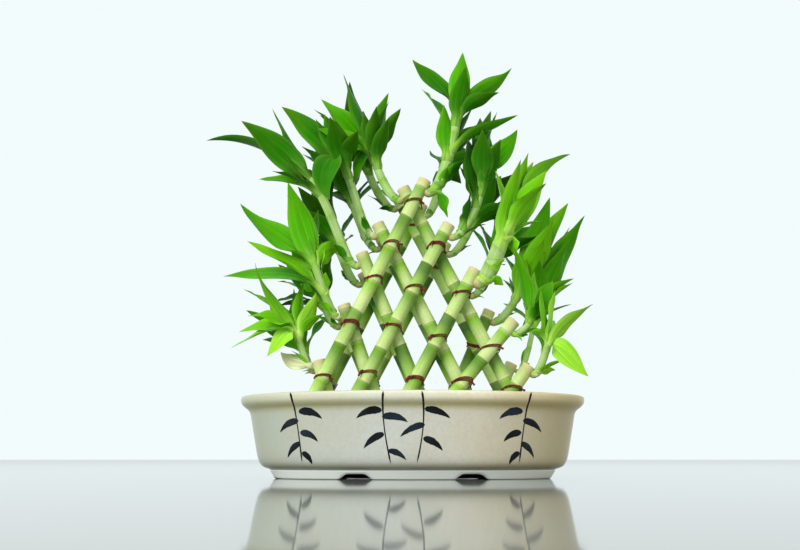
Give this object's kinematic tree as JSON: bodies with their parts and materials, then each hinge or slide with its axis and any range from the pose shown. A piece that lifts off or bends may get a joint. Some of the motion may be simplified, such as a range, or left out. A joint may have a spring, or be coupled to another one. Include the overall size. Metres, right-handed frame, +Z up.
{
  "type": "potted lucky bamboo",
  "caption": "Potted lucky bamboo: lattices of crossed, wire-tied canes with leafy shoots, set in pebbles in an oval glazed dish.",
  "frame": {"origin": "middle of the part's outline seen from above, on the surface that the dish stands on", "axes": "+Z up, X along the dish's long side, -Y towards the viewer, where the front lattice stands"},
  "size_m": [0.292, 0.162, 0.3104],
  "materials": {
    "glaze": "gloss",
    "pebble": "satin",
    "cane": "satin",
    "leaf": "satin",
    "wire": "satin"
  },
  "bodies": {
    "root": {"dish": "glaze", "pebble_bed": "pebble", "front_rising_cane_1": "cane", "front_rising_cane_2": "cane", "front_rising_cane_3": "cane", "front_rising_cane_4": "cane", "front_rising_cane_5": "cane", "front_falling_cane_1": "cane", "front_falling_cane_2": "cane", "front_falling_cane_3": "cane", "front_falling_cane_4": "cane", "front_falling_cane_5": "cane", "rear_rising_cane_1": "cane", "rear_rising_cane_2": "cane", "rear_rising_cane_3": "cane", "rear_rising_cane_4": "cane", "rear_rising_cane_5": "cane", "rear_falling_cane_1": "cane", "rear_falling_cane_2": "cane", "rear_falling_cane_3": "cane", "rear_falling_cane_4": "cane", "rear_falling_cane_5": "cane", "front_rising_shoot_1": "leaf", "front_rising_shoot_2": "leaf", "front_rising_shoot_3": "leaf", "front_rising_shoot_4": "leaf", "front_rising_shoot_5": "leaf", "front_falling_shoot_1": "leaf", "front_falling_shoot_2": "leaf", "front_falling_shoot_3": "leaf", "front_falling_shoot_4": "leaf", "front_falling_shoot_5": "leaf", "rear_rising_shoot_1": "leaf", "rear_rising_shoot_2": "leaf", "rear_rising_shoot_3": "leaf", "rear_rising_shoot_4": "leaf", "rear_rising_shoot_5": "leaf", "rear_falling_shoot_1": "leaf", "rear_falling_shoot_2": "leaf", "rear_falling_shoot_3": "leaf", "rear_falling_shoot_4": "leaf", "rear_falling_shoot_5": "leaf", "tie_1_1": "wire", "tie_1_2": "wire", "tie_1_3": "wire", "tie_1_4": "wire", "tie_1_5": "wire", "tie_2_1": "wire", "tie_2_2": "wire", "tie_2_3": "wire", "tie_2_4": "wire", "tie_3_1": "wire", "tie_3_2": "wire", "tie_3_3": "wire", "tie_4_1": "wire", "tie_4_2": "wire", "tie_5_1": "wire"}
  },
  "joints": []
}
